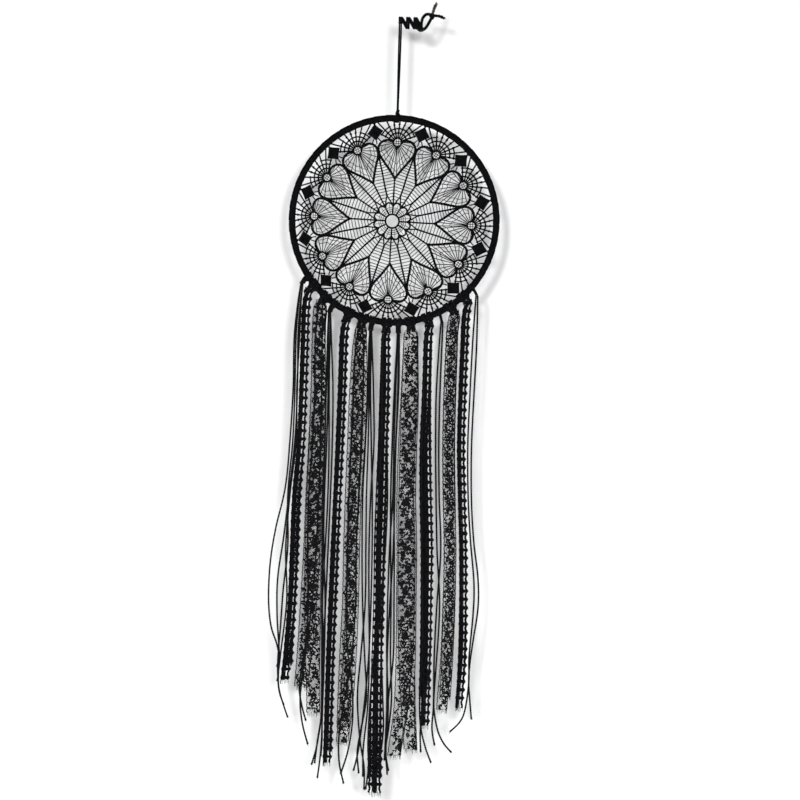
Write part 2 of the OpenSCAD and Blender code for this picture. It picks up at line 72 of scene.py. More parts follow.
# Route of each fringe cord from its knot to its cut end
CORDS = {
    "cord_1_a": hung(-5.6, -6.4, -7.1,
        (-86.2, -250), (-88.5, -268), (-91, -302), (-90.5, -350), (-92, -400), (-95, -444), (-103, -484),
        (-107, -516), (-107.5, -550), (-104.5, -575), (-98.5, -592), (-96, -604), (-97.5, -614)),
    "cord_1_b": hung(-5.6, -5.6, -5.5,
        (-84.6, -250), (-86.2, -268), (-87.5, -302), (-86.5, -350), (-87.5, -400), (-91.5, -450), (-95, -490),
        (-99.5, -530), (-99, -565), (-96, -600), (-95.5, -633), (-90, -650)),
    "cord_1_c": hung(-3.8, -3.8, -3.9,
        (-86.2, -250), (-88, -268), (-89.5, -302), (-89, -350), (-89.5, -400), (-92.5, -450), (-91, -500),
        (-94, -540), (-95.5, -575), (-97, -610), (-94.8, -636), (-86, -662)),
    "cord_1_d": hung(-3.8, -3.2, -2.3,
        (-84.6, -250), (-85.8, -268), (-86.2, -302), (-87.2, -350), (-86.3, -400), (-90.5, -450), (-93, -500),
        (-90.5, -550), (-94.5, -600), (-97, -628)),
    "cord_3_a": hung(-7.8, -8, -8,
        (-69, -271), (-71, -302), (-70, -350), (-70.5, -400), (-72.5, -450), (-72, -500), (-70, -550),
        (-70.5, -585), (-75.5, -628), (-73.5, -647), (-68.5, -664)),
    "cord_3_b": hung(-7.8, -9.4, -9.4,
        (-65.4, -271), (-64.5, -302), (-63.5, -350), (-63, -400), (-63, -450), (-64, -500), (-66, -550),
        (-71, -600), (-74.5, -640), (-72, -665), (-66, -686)),
    "cord_4_a": hung(-5.6, -6.8, -7.1,
        (-59.2, -277), (-59.5, -302), (-59.2, -350), (-58.8, -400), (-58.8, -450), (-58, -500), (-57, -550),
        (-55.5, -600), (-54.2, -645), (-54.4, -662), (-57, -683), (-59, -704)),
    "cord_4_b": hung(-5.6, -5.5, -5.5,
        (-57.6, -277), (-57.3, -302), (-56.5, -350), (-55, -400), (-54.5, -450), (-55.5, -500), (-56.5, -550),
        (-54, -600), (-53.2, -650), (-53.5, -690), (-56, -718)),
    "cord_4_c": hung(-3.8, -3.9, -3.9,
        (-59.2, -277), (-59, -302), (-57.5, -350), (-57.2, -400), (-57.8, -450), (-57, -500), (-54, -550),
        (-53.2, -600), (-53.5, -650), (-57, -685), (-62, -706)),
    "cord_4_d": hung(-3.8, -3, -2.3,
        (-57.6, -277), (-56, -302), (-53, -350), (-52, -400), (-52.2, -450), (-52.8, -500), (-53.5, -550),
        (-54.5, -600), (-54.2, -645), (-52.8, -680), (-53.5, -698)),
    "cord_6_a": hung(-7.8, -8, -8,
        (-30, -292), (-32.5, -310), (-33.5, -350), (-34, -400), (-34.5, -450), (-34, -500), (-33.5, -550),
        (-32, -590), (-28, -615), (-25, -640), (-24.5, -665), (-28, -692), (-34, -713)),
    "cord_6_b": hung(-7.8, -9.2, -9.4,
        (-26.6, -292), (-25, -310), (-24.2, -350), (-24, -400), (-25, -450), (-26, -500), (-25, -550),
        (-27, -600), (-32, -640), (-36.5, -672), (-36, -700), (-31, -722)),
    "cord_7_a": hung(-5.6, -6.4, -7.1,
        (-19.8, -293), (-20.3, -310), (-19.8, -350), (-20.5, -400), (-21.5, -450), (-20.5, -500),
        (-18.5, -550), (-15, -600), (-12, -640), (-16, -670), (-19, -692), (-17, -712)),
    "cord_7_b": hung(-5.6, -5.5, -5.5,
        (-18.2, -293), (-18, -310), (-17.3, -350), (-15, -400), (-12.5, -450), (-11, -500), (-10.5, -550),
        (-11, -600), (-14, -650), (-18, -690), (-22, -710)),
    "cord_7_c": hung(-3.8, -3.9, -3.9,
        (-19.8, -293), (-19.5, -310), (-18.5, -350), (-18, -400), (-18, -450), (-17, -500), (-16, -550),
        (-18.5, -600), (-20.5, -640), (-17, -680), (-12.2, -706), (-11.5, -728)),
    "cord_7_d": hung(-3.8, -3.2, -2.3,
        (-18.2, -293), (-17, -310), (-14.5, -350), (-12.5, -400), (-14, -450), (-14, -500), (-12.5, -550),
        (-10.6, -600), (-10.6, -650), (-13.5, -690), (-13, -716)),
    "cord_8_a": hung(-7.8, -8, -8,
        (-6, -296), (-7.2, -320), (-6, -350), (-5, -400), (-6.5, -450), (-4, -500), (-2, -550), (-6, -600),
        (-8.3, -640), (-9.2, -680), (-8, -706), (-10, -727)),
    "cord_8_b": hung(-7.8, -9.2, -9.4,
        (-2.4, -296), (-1.2, -320), (-1, -350), (0, -400), (2, -450), (1.5, -500), (-1, -550), (1, -600),
        (3.5, -640), (5, -670), (2, -700), (-4, -724)),
    "cord_9_a": hung(-5.6, -6.4, -7.1,
        (6.5, -294.5), (6.2, -312), (5.2, -350), (4.8, -400), (5, -450), (6.5, -500), (8.5, -550),
        (9.5, -600), (11.8, -640), (10, -668), (7.8, -690), (11, -709)),
    "cord_9_b": hung(-5.6, -5.5, -5.5,
        (8.1, -294.5), (8.2, -312), (8.5, -350), (8.3, -400), (8, -450), (10, -500), (11.3, -550),
        (12.3, -600), (9, -640), (8, -670), (7.4, -695)),
    "cord_9_c": hung(-3.8, -3.9, -3.9,
        (6.5, -294.5), (6.6, -312), (6.5, -350), (6.5, -400), (7, -450), (5.5, -500), (5.2, -550), (6, -600),
        (9, -650), (8.1, -690), (10, -713)),
    "cord_9_d": hung(-3.8, -3.2, -2.3,
        (8.1, -294.5), (8.7, -312), (9.3, -350), (8.3, -400), (8.8, -450), (9, -500), (7.5, -550),
        (6.5, -600), (7.5, -650), (7.2, -685), (6.9, -700)),
    "cord_11_a": hung(-7.8, -8, -8,
        (35, -289), (33.5, -310), (33, -350), (33, -400), (34, -450), (36, -500), (38.5, -550), (40, -600),
        (38.5, -640), (40, -665), (45, -685), (51, -700)),
    "cord_11_b": hung(-7.8, -9.2, -9.4,
        (38.6, -289), (39, -310), (39.5, -350), (41, -400), (43, -450), (45.5, -500), (46, -550), (47, -600),
        (43, -640), (40, -668), (41, -690)),
    "cord_12_a": hung(-5.2, -5.6, -5.6,
        (47.5, -283), (46.5, -302), (45, -350), (46, -400), (48, -450), (50.5, -500), (54, -540),
        (54.5, -570), (53, -610), (52, -645), (56, -668), (62, -681), (70, -690)),
    "cord_12_b": hung(-4.2, -3.8, -3.8,
        (49.1, -283), (49, -302), (48.5, -350), (49, -400), (51, -450), (54, -500), (52, -550), (51, -600),
        (51.8, -645), (51, -668), (54, -684)),
    "cord_15_a": hung(-5.2, -5.6, -5.6,
        (81.4, -257), (81.8, -302), (80.8, -350), (80, -400), (81.5, -450), (85, -490), (90, -524),
        (91, -552), (87.5, -582), (85, -605), (84.5, -625), (88, -658)),
    "cord_15_b": hung(-4.2, -3.8, -3.8,
        (79.8, -257), (78, -302), (77, -350), (76.5, -400), (78.5, -450), (82, -490), (86.5, -530),
        (86.5, -560), (84, -600), (84.5, -625), (80, -656), (68, -671)),
}

# Trim: widths seen from the front at LEVELS, front half's x, back half's x, front end, back end
TRIMS = {
    "trim_2": (
        [8.5] * 10,
        [-91, -91, -91, -87.5, -85, -84.5, -84, -81, -80.5, -80.5],
        [-86.5, -86.5, -86.5, -86, -84.5, -83.5, -83, -81, -80.5, -80.5], -629, -615,
    ),
    "lace_3": (
        [13, 13, 13, 14, 15, 15, 15, 14.5, 14, 13],
        [-62, -62, -62, -64.5, -66.5, -67.5, -67.5, -67, -67, -68],
        [-75, -75, -75, -72.2, -70.2, -68.8, -68.4, -67.5, -67, -68], -659, -635,
    ),
    "trim_5": (
        [8.5] * 10,
        [-47, -47, -47, -47, -46.5, -46, -45, -44.5, -44, -44],
        [-46, -46, -46.5, -46.5, -46, -45.5, -45, -44, -43.5, -43.5], -706, -695,
    ),
    "lace_6": (
        [11, 11, 12, 12, 12, 12, 12, 12, 12, 11],
        [-35, -35, -31.5, -29.5, -29, -29.5, -29.5, -28, -27.5, -28],
        [-33.5, -33.5, -33.5, -33, -32, -32.5, -32.5, -32, -31.5, -30], -686, -672,
    ),
    "trim_8": (
        [14, 14, 12, 11, 11, 11, 11, 10, 10, 9],
        [0, -1.5, -2.2, -2.5, -2.5, -3.5, -3.5, -3.5, -3.5, -4.2],
        [0, -1, -2, -2.5, -2.5, -3, -3, -3, -3, -4], -733, -718,
    ),
    "lace_10": (
        [12, 12.5, 14, 16, 17, 17, 16, 16, 16, 14],
        [15, 15.5, 21, 22.5, 21.5, 20.5, 18.5, 18.5, 19.5, 19.4],
        [32, 32, 28, 25, 23, 22, 20.5, 20, 20, 19.6], -697, -691,
    ),
    "trim_11": (
        [9, 9, 9, 9, 9, 9, 9, 9, 8.5, 8.5],
        [44.5, 44.5, 44.5, 44.5, 44, 43, 40.5, 38, 36.5, 35.8],
        [42, 42, 42, 42, 41, 39.5, 37, 35.5, 36, 36], -668, -640,
    ),
    "lace_13": (
        [10, 10, 10, 10.5, 11, 11, 11, 11, 11, 10.5],
        [59.5, 59.5, 59.5, 62, 62.5, 62.3, 59.5, 57.5, 57, 57.5],
        [62, 62, 62, 63, 63, 62.2, 60, 58, 57.5, 58], -652, -640,
    ),
    "trim_14": (
        [7.5, 7.5, 7.5, 8, 8, 8, 8, 8, 8, 8],
        [76.5, 76.5, 76.5, 78.5, 77.5, 75.8, 73.2, 70.6, 70.4, 70.8],
        [77, 77, 77, 78, 77.5, 76, 73.2, 70.8, 70.6, 71.2], -650, -635,
    ),
}


# --- lines and meshes ---

POINTED = 0.004         # share of a section's size left where a mesh closes


def unit(v):
    return v / np.maximum(np.linalg.norm(v, axis=-1, keepdims=True), 1e-12)


def full_turn(count):
    return np.linspace(0, 2 * np.pi, count, endpoint=False)


def eased(t):
    """0 to 1 with a soft start and a soft end."""
    return t * t * (3 - 2 * t)


def flat_line(u, v):
    """Points across and along, in the plane of a piece that is drawn flat."""
    return np.stack([u, 0 * u, v], 1)


def steps_of(line):
    return np.linalg.norm(np.diff(line, axis=0), axis=1)


def run_along(line):
    """Each point's distance from the line's start, along the line."""
    return np.concatenate([[0], np.cumsum(steps_of(line))])


def respaced(line, spacing):
    """The same line in points that far apart."""
    run = run_along(line)
    places = np.linspace(0, run[-1], max(3, int(round(run[-1] / spacing)) + 1))
    return np.stack([np.interp(places, run, line[:, i]) for i in range(3)], axis=1)


def smooth(corners, spacing):
    """The smooth curve through a route's points."""
    p = np.array(corners, float)
    ends = np.vstack([p[:1], p, p[-1:]])
    t = np.linspace(0, 1, 24, endpoint=False)[:, None]
    parts = [
        0.5 * (2 * b + (c - a) * t + (2 * a - 5 * b + 4 * c - d) * t ** 2 + (3 * b - a - 3 * c + d) * t ** 3)
        for a, b, c, d in zip(ends, ends[1:], ends[2:], ends[3:])
    ]
    return respaced(np.vstack(parts + [p[-1:]]), spacing)


def corner_angles(sides):
    return np.arange(sides) * 2 * np.pi / sides


def grid_faces(rings, sides, closed=False):
    """Quads between rings of points, each ring closed on itself."""
    i, k = np.meshgrid(np.arange(rings if closed else rings - 1), np.arange(sides), indexing="ij")
    here, below, right = i * sides, (i + 1) % rings * sides, (k + 1) % sides
    return np.stack([here + k, here + right, below + right, below + k], -1).reshape(-1, 4)


def tube(line, radius, sides=6, up=(0, 1, 0), flat=1.0, lobes=0, depth=0.0, pitch=1.0, turn=0.0,
         closed=False):
    """A thread along a line, flattened towards up. Its plies twist round it where lobes is given."""
    line = np.asarray(line, float)
    if closed:
        along = unit(np.roll(line, -1, 0) - np.roll(line, 1, 0))
    else:
        along = unit(np.gradient(line, axis=0))
    across = unit(np.cross(along, np.broadcast_to(up, along.shape)))
    over = np.cross(across, along)
    size = np.broadcast_to(np.asarray(radius, float), (len(line),)).copy()
    run = run_along(line)
    if not closed:
        pick = np.concatenate([[0], np.arange(len(line)), [len(line) - 1]])
        line, across, over, size, run = line[pick], across[pick], over[pick], size[pick], run[pick]
        size[[0, -1]] *= POINTED
    k = corner_angles(sides)
    swell = 1 + depth * np.cos(lobes * (k[None] - 2 * np.pi * run[:, None] / pitch - turn)) if lobes else 1.0
    reach = (size[:, None] * swell)[..., None]
    points = line[:, None] + reach * (np.cos(k)[None, :, None] * across[:, None]
                                      + flat * np.sin(k)[None, :, None] * over[:, None])
    return points.reshape(-1, 3), grid_faces(len(line), sides, closed)


def blobs(places, half_long, half_wide, angles, rise, sides=7):
    """Raised lens-shaped stitches, lying in the plane of u and s, with h out of it."""
    places = np.asarray(places, float).reshape(-1, 2)
    n = len(places)
    half_long, half_wide, angles = (np.broadcast_to(v, (n,)).astype(float)
                                    for v in (half_long, half_wide, angles))
    k = corner_angles(sides)
    levels = np.array([[POINTED, -1.0], [0.86, -0.62], [1.0, 0.0], [0.86, 0.62], [POINTED, 1.0]])
    grow = levels[:, 0][None, :, None]
    a = half_long[:, None, None] * np.cos(k) * grow
    b = half_wide[:, None, None] * np.sin(k) * grow
    c, s = np.cos(angles)[:, None, None], np.sin(angles)[:, None, None]
    u = places[:, 0][:, None, None] + a * c - b * s
    v = places[:, 1][:, None, None] + a * s + b * c
    h = np.broadcast_to(rise * levels[:, 1][None, :, None], u.shape)
    points = np.stack([u, h, v], -1).reshape(-1, 3)
    one = grid_faces(len(levels), sides)
    faces = (one[None] + (np.arange(n) * len(levels) * sides)[:, None, None]).reshape(-1, 4)
    return points, faces


def joined(parts):
    """Several meshes' points and faces as one."""
    starts = np.cumsum([0] + [len(p) for p, _ in parts[:-1]])
    return np.vstack([p for p, _ in parts]), np.vstack([f + s for (_, f), s in zip(parts, starts)])


def in_scene(name, data):
    thing = bpy.data.objects.new(name, data)
    bpy.context.scene.collection.objects.link(thing)
    return thing


def make_piece(name, parts, material):
    """A visible piece from parts in millimetres."""
    points, faces = joined(parts)
    mesh = bpy.data.meshes.new(name)
    mesh.from_pydata((points * MM).tolist(), [], faces.tolist())
    mesh.shade_smooth()
    mesh.materials.append(material)
    piece = in_scene(name, mesh)
    return piece


def mount(piece, body, node):
    """The piece moves with one body and stands for one modelled node."""
    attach(piece, body)
    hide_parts(node)


# --- materials ---

def link(tree, a, out, b, into):
    tree.links.new(a.outputs[out], b.inputs[into])


def noise_node(tree, coord, scale, detail=3.0, rough=0.55):
    node = tree.nodes.new("ShaderNodeTexNoise")
    node.inputs["Scale"].default_value = scale
    node.inputs["Detail"].default_value = detail
    node.inputs["Roughness"].default_value = rough
    link(tree, coord, "Object", node, "Vector")
    return node


def ramp_node(tree, source, low, high):
    node = tree.nodes.new("ShaderNodeValToRGB")
    for stop, position, colour in zip(node.color_ramp.elements, (0.35, 0.65), (low, high)):
        stop.position = position
        stop.color = (*colour, 1)
    link(tree, source, "Fac", node, "Fac")
    return node


def node_material(name):
    """A new material, its node tree, its shader and the node of the piece's own coordinates."""
    material = bpy.data.materials.new(name)
    material.use_nodes = True
    tree = material.node_tree
    return material, tree, tree.nodes["Principled BSDF"], tree.nodes.new("ShaderNodeTexCoord")


def fibre(name, low, high, roughness, fuzz, grain, gloss=0.03):
    """Dyed thread: its black varies in a fine speckle, partly the dye's own unevenness and partly painted
    highlights and painted shade of the plait's holes; its fibres roughen the surface.
    """
    material, tree, shader, coord = node_material(name)
    # painted light: this fine speckle between the low and high colours is partly uneven dye and partly
    # painted highlights and painted shade
    dye_and_highlight_speckle = noise_node(tree, coord, 520, 4.0, 0.62)
    colour = ramp_node(tree, dye_and_highlight_speckle, low, high)
    link(tree, colour, "Color", shader, "Base Color")
    fibres = noise_node(tree, coord, 1 / grain, 5.0, 0.7)
    spread = tree.nodes.new("ShaderNodeMapRange")
    spread.inputs["To Min"].default_value = roughness - 0.1
    spread.inputs["To Max"].default_value = min(1.0, roughness + 0.1)
    link(tree, fibres, "Fac", spread, "Value")
    link(tree, spread, "Result", shader, "Roughness")
    bump = tree.nodes.new("ShaderNodeBump")
    bump.inputs["Strength"].default_value = 0.7
    bump.inputs["Distance"].default_value = fuzz
    link(tree, fibres, "Fac", bump, "Height")
    link(tree, bump, "Normal", shader, "Normal")
    shader.inputs["Specular IOR Level"].default_value = gloss
    return material


def make_materials():
    return {
        "tape": fibre("wrap_tape_cotton", (0.0006, 0.0006, 0.0008), (0.0048, 0.0048, 0.0056), 0.82,
                      fuzz=0.0002, grain=0.0005),
        "doily": fibre("doily_thread", (0.0006, 0.0006, 0.0008), (0.0045, 0.0045, 0.0053), 0.88,
                       fuzz=0.00012, grain=0.00035),
        "cord": fibre("twisted_cord", (0.0007, 0.0007, 0.0009), (0.0055, 0.0053, 0.0058), 0.7,
                      fuzz=0.0001, grain=0.0004),
        "wax": fibre("waxed_thread", (0.0007, 0.0007, 0.0009), (0.006, 0.0058, 0.0066), 0.58,
                     fuzz=0.00006, grain=0.0004, gloss=0.05),
        "trim": fibre("trim_thread", (0.0003, 0.0003, 0.0005), (0.0075, 0.0075, 0.009), 0.8,
                      fuzz=0.0001, grain=0.0004),
        "lace": fibre("lace_nylon", (0.0005, 0.0005, 0.0007), (0.0085, 0.0085, 0.0098), 0.6,
                      fuzz=0.00005, grain=0.0003, gloss=0.05),
        "tail": fibre("cord_tail", (0.012, 0.009, 0.0085), (0.085, 0.058, 0.047), 0.85,
                      fuzz=0.00015, grain=0.0006),
        "steel": steel("drawn_steel"),
    }


def steel(name):
    material, tree, shader, coord = node_material(name)
    scratches = noise_node(tree, coord, 900, 4.0)
    colour = ramp_node(tree, scratches, (0.40, 0.41, 0.43), (0.50, 0.51, 0.53))
    link(tree, colour, "Color", shader, "Base Color")
    shader.inputs["Metallic"].default_value = 1.0
    shader.inputs["Roughness"].default_value = 0.38
    return material


def pale(name, tone, see_from_behind):
    """Matte plaster for the wall and the floor; from behind, the wall lets the view through."""
    material, tree, shader, coord = node_material(name)
    mottle = noise_node(tree, coord, 6, 2.0)
    colour = ramp_node(tree, mottle, tuple(tone * v for v in (0.985, 0.985, 0.99)), (tone, tone, tone))
    link(tree, colour, "Color", shader, "Base Color")
    shader.inputs["Roughness"].default_value = 0.95
    shader.inputs["Specular IOR Level"].default_value = 0.1
    if see_from_behind:
        geometry = tree.nodes.new("ShaderNodeNewGeometry")
        clear = tree.nodes.new("ShaderNodeBsdfTransparent")
        mix = tree.nodes.new("ShaderNodeMixShader")
        link(tree, geometry, "Backfacing", mix, 0)
        link(tree, shader, "BSDF", mix, 1)
        link(tree, clear, "BSDF", mix, 2)
        link(tree, mix, "Shader", tree.nodes["Material Output"], "Surface")
    return material


# --- camera, light and surroundings ---

def stood(name, data, right, above, back, place):
    """A camera or light at a place, looking away from its back direction."""
    thing = in_scene(name, data)
    pose = Matrix.Identity(4)
    for i in range(3):
        pose[i][0], pose[i][1], pose[i][2], pose[i][3] = right[i], above[i], back[i], place[i]
    thing.matrix_world = pose
    return thing


def make_camera():
    """Looks straight on at the face, turned slightly about its own axis."""
    distance, seen_width, roll = 2.2, 0.758, 0.0317
    centre = np.array([0.0109, PLANE_Y * MM, -0.358])
    right = np.array([math.cos(roll), 0, math.sin(roll)])
    above = np.array([-math.sin(roll), 0, math.cos(roll)])
    towards = np.array([0, -1, 0])
    data = bpy.data.cameras.new("camera")
    data.lens = data.sensor_width * distance / seen_width
    bpy.context.scene.camera = stood("camera", data, right, above, towards, centre + distance * towards)


def make_light(name, place, size, power):
    """A round area light that faces the middle of the object."""
    middle = np.array([0, 0, -0.38])
    data = bpy.data.lights.new(name, "AREA")
    data.shape = "DISK"
    data.size = size
    data.energy = power
    back = unit(np.array(place, float) - middle)
    side = unit(np.cross((0, 0, 1), back))
    stood(name, data, side, np.cross(back, side), back, place)


def make_surroundings():
    """The wall stands behind the fringe's furthest swing; two small lights throw near shadows on it."""
    wall_y, wall_top, wall_reach, floor_z, floor_reach = 0.42, 1.4, 3.0, -0.86, 1.6
    corners = ((-1, -1), (1, -1), (1, 1), (-1, 1))
    wall = stage_plane("wall", [(a * wall_reach, wall_y, wall_top if b > 0 else floor_z) for a, b in corners],
                       pale("wall_plaster", 0.9, True))
    floor = stage_plane("floor", [(a * floor_reach, b * floor_reach, floor_z) for a, b in corners],
                        pale("floor_plaster", 0.9, False))
    make_light("light_left", (-0.062, -2.35, -0.29), 0.045, 35)
    make_light("light_right", (0.068, -2.35, -0.32), 0.055, 30)
    make_light("light_side_left", (-1.5, -1.3, 0.3), 0.6, 5)
    make_light("light_side_right", (1.5, -1.3, 0.25), 0.6, 4)
    world = bpy.data.worlds.new("surround")
    world.use_nodes = True
    tree = world.node_tree
    background = tree.nodes["Background"]
    background.inputs["Color"].default_value = (0.93, 0.95, 1.0, 1)
    seen = tree.nodes.new("ShaderNodeLightPath")
    strength = tree.nodes.new("ShaderNodeMapRange")
    strength.inputs["To Min"].default_value = 0.05      # what lights the object
    strength.inputs["To Max"].default_value = 0.8       # what the camera sees past the wall
    link(tree, seen, "Is Camera Ray", strength, "Value")
    link(tree, strength, "Result", background, "Strength")
    bpy.context.scene.world = world
    bpy.context.scene.view_settings.view_transform = "Standard"
    bpy.context.scene.view_settings.look = "None"


def stage_plane(name, corners, material):
    mesh = bpy.data.meshes.new(name)
    mesh.from_pydata(corners, [], [(0, 1, 2, 3)])
    mesh.materials.append(material)
    return in_scene(name, mesh)


# --- fringe cords ---

def tassel_of(name):
    return int(name.split("_")[1])


def pivot_of(tassel):
    a = math.radians(TASSEL_ANGLES[tassel])
    return np.array([KNOT_R * math.sin(a), PLANE_Y, HOOP_Z - KNOT_R * math.cos(a)])


def bend_at_knot(piece):
    """Bakes the piece's placement into its mesh."""
    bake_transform(piece)


def make_fringe_cords(material):
    radius, splay = 0.82, 6         # millimetres, and the points over which the cut end splays
    for index, (name, corners) in enumerate(CORDS.items()):
        line = smooth(corners, 0.0006)
        thick = radius + 0.02 * np.sin(np.arange(len(line)) * 0.013 + index)
        thick[-splay:] *= np.linspace(1, 1.25, splay)
        body = tube(line / MM, thick, sides=8, lobes=2, depth=0.2, pitch=3.6, turn=index)
        piece = make_piece(name + "_cord", [body] + cut_end(line / MM, radius, index), material)
        bend_at_knot(piece)
        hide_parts(name)


def cut_end(line, radius, seed, fibres=5, length=1.6):
    """The few fibres that stand out of a cord's cut end."""
    rng = np.random.default_rng(seed)
    tip = line[-1]
    along = unit(line[-1] - line[-6])
    parts = []
    for _ in range(fibres):
        lean = unit(along + rng.normal(0, 0.28, 3) * (1, 0.7, 1))
        start = tip - along * 0.6 + rng.normal(0, radius * 0.35, 3)
        steps = np.linspace(0, 1, 4)[:, None] * length * rng.uniform(0.6, 1.2)
        parts.append(tube(start + steps * lean, radius * 0.16, sides=3, up=(0.3, 1, 0.2)))
    return parts


# --- hoop ---

def make_hoop_wrap(material):
    """Tape wound round the ring. Each turn's edge lies on the turn before it, and the mesh follows it."""
    turns, sides = 55, 36
    # places within one turn, and how far the tape stands out there
    within = np.array([0.0, 0.035, 0.1, 0.2, 0.32, 0.45, 0.58, 0.7, 0.82, 0.92, 0.975, 0.995])
    rise = np.array([0.02, 0.24, 0.29, 0.27, 0.24, 0.2, 0.16, 0.12, 0.08, 0.04, 0.01, 0.0])
    steps = len(within)
    rng = np.random.default_rng(5)
    turn = np.repeat(np.arange(turns), steps)
    slip = rng.normal(0, 0.06, turns)
    place = turn + np.tile(within, turns) + slip[turn] * np.tile(np.sin(np.pi * within), turns)
    j = np.arange(sides)
    section = 2 * np.pi * j / sides
    around = 2 * np.pi * (place[:, None] + j[None] / sides) / turns
    pucker = rng.uniform(0, 2 * np.pi, (turns, 3))[turn]
    crease = sum(np.sin((k + 2) * around * turns * (1.0 if k else 2.0) + pucker[:, k:k + 1])
                 for k in range(3))
    inner_side = 0.5 - 0.5 * np.cos(section)[None]
    uneven = 1 + 0.12 * rng.normal(0, 1, turns)[turn][:, None]
    radius = RIM_HALF - 0.2 + np.tile(rise, turns)[:, None] * uneven
    radius = radius + 0.022 * crease * (0.35 + inner_side)
    reach = RIM_R + radius * np.cos(section)[None]
    points = np.stack([reach * np.sin(around), PLANE_Y + radius * np.sin(section)[None],
                       HOOP_Z + reach * np.cos(around)], -1)
    rows = turns * steps
    i, k = np.meshgrid(np.arange(rows), j, indexing="ij")
    right = (k + 1) % sides
    shift = np.where(k + 1 == sides, steps, 0)

    def at(row, side):
        return (row % rows) * sides + side
    faces = np.stack([at(i, k), at(i + 1, k), at(i + 1 + shift, right), at(i + shift, right)], -1)
    tape = (points.reshape(-1, 3), faces.reshape(-1, 4))
    mount(make_piece("hoop_tape", [tape], material), "hoop", "hoop_wrap")


# --- doily: drawn for one petal, u along the rim and v away from the centre, and turned into place ---

PETALS = 12
HALF = math.radians(15)
# Half a heart from its tip to its notch: share of INNER_R, share of HALF
HEART = [(0.433, 0), (0.53, 0.47), (0.62, 0.8), (0.685, 0.95), (0.75, 0.96), (0.797, 0.83), (0.822, 0.55),
         (0.817, 0.36), (0.798, 0.2)]
NOTCH_RING = (0.0, 0.797 * INNER_R)
NODE_R = 14.7           # where a petal's axis, its arches and the star's arms meet
SPLIT_R = 24.6          # where the star's arms of two petals join
RAY_START = 4.3         # distance from the notch ring's centre at which rays and net threads begin


def spot(r, angle):
    return (r * math.sin(angle), r * math.cos(angle))


def drawn(points, width, rng, wander=0.12, spacing=0.9, sides=6, **twist):
    """One crocheted thread through flat points, which stray a little. Its width beats with the stitches."""
    stitch = 2.3
    route = np.array([(u, 0, v) for u, v in points], float)
    if len(route) == 2:
        route = np.insert(route, 1, route.mean(0), 0)
    route[1:-1] += rng.normal(0, wander, route[1:-1].shape) * (1, 0.35, 1)
    line = smooth(route, spacing)
    beat = 1 + 0.1 * np.sin(np.arange(len(line)) * spacing * 2 * np.pi / stitch + rng.uniform(0, 6))
    return tube(line, width / 2 * beat, sides=sides, **twist)


def heart_line(side):
    route = [(side * r * INNER_R * math.sin(f * HALF), 0, r * INNER_R * math.cos(f * HALF)) for r, f in HEART]
    return smooth(route, 1.0)[:, [0, 2]]


def heart_angle(r):
    """Angle of the heart's outline at a radius, up to where two hearts touch."""
    rs = [k[0] * INNER_R for k in HEART[:4]]
    return np.interp(r, rs, [k[1] * HALF for k in HEART[:4]], left=0)


def heart_filling(rng):
    """Thin rays from the small ring to the heart's outline, with two zigzag rounds across them."""
    centre = np.array(NOTCH_RING)
    outline = np.vstack([heart_line(-1)[::-1], heart_line(1)[1:]])
    run = run_along(outline)
    rays, zigzag = 18, 0.035
    places = np.linspace(0.055, 0.945, rays) + rng.normal(0, 0.005, rays)
    ends = np.stack([np.interp(places * run[-1], run, outline[:, i]) for i in (0, 1)], 1)
    parts, rounds = [], {0.56: [], 0.8: []}         # share of the ray's length: points
    for k, end in enumerate(ends):
        start = centre + RAY_START * unit(end - centre)
        parts.append(drawn([start, (start + end) / 2, end], 0.86, rng, 0.15, 1.6, 5))
        for share, places_on in rounds.items():
            places_on.append(start + (end - start) * (share + (zigzag if k % 2 else -zigzag)))
    for places_on in rounds.values():
        parts.append(drawn(places_on[2:-2], 0.55, rng, 0.05, 1.0, 4))
    return parts


def rungs(rng):
    """The ladder between the petal's axis or outline and the star's arms, closer beside the heart."""
    parts = []
    r, last, beside_heart, narrowest = 17.2, 65, 42, 0.03
    while r < last:
        outer = HALF * np.interp(r, [NODE_R, SPLIT_R], [0.12, 1])
        inner = heart_angle(r)
        drop = 0.55 if r < 60 else 0.25
        if outer - inner > narrowest:
            parts += [drawn([spot(r + drop, side * inner), spot(r - drop, side * outer)], 0.74, rng, 0.1,
                            1.5, 5) for side in (-1, 1)]
        r += 3.0 if r < beside_heart else 2.45
    return parts


def net_fan(rng):
    """The net from the small ring out to the rim, with a knot at every crossing."""
    centre = np.array(NOTCH_RING)
    headings = [np.array(spot(1, a)) for a in np.radians(np.linspace(-68, 68, 9))]
    parts, knots = [], []
    for order, heading in enumerate(headings):
        along = centre @ heading
        reach = -along + math.sqrt(along ** 2 - centre @ centre + (INNER_R + 0.4) ** 2)
        if order in (0, len(headings) - 1):
            reach = min(reach, 19.5)        # the outer threads end at the diamonds
        parts.append(drawn([centre + RAY_START * heading, centre + reach * heading], 1.4, rng, 0.1, 1.2, 6))
    for radius in (8.6, 12.7, 16.6):
        row = [centre + radius * heading for heading in headings]
        row = [place for place in row if np.linalg.norm(place) < INNER_R - 0.6]
        knots += row
        rows = [row[:3], row[-3:]] if radius > 15 else [row]        # the rim cuts the last round in two
        parts += [drawn(points, 1.35, rng, 0.05, 1.2, 6) for points in rows if len(points) > 1]
    turns = rng.uniform(0, 3, len(knots))
    parts.append(blobs(knots, 1.35, 1.2, turns, 0.85, 6))
    return parts


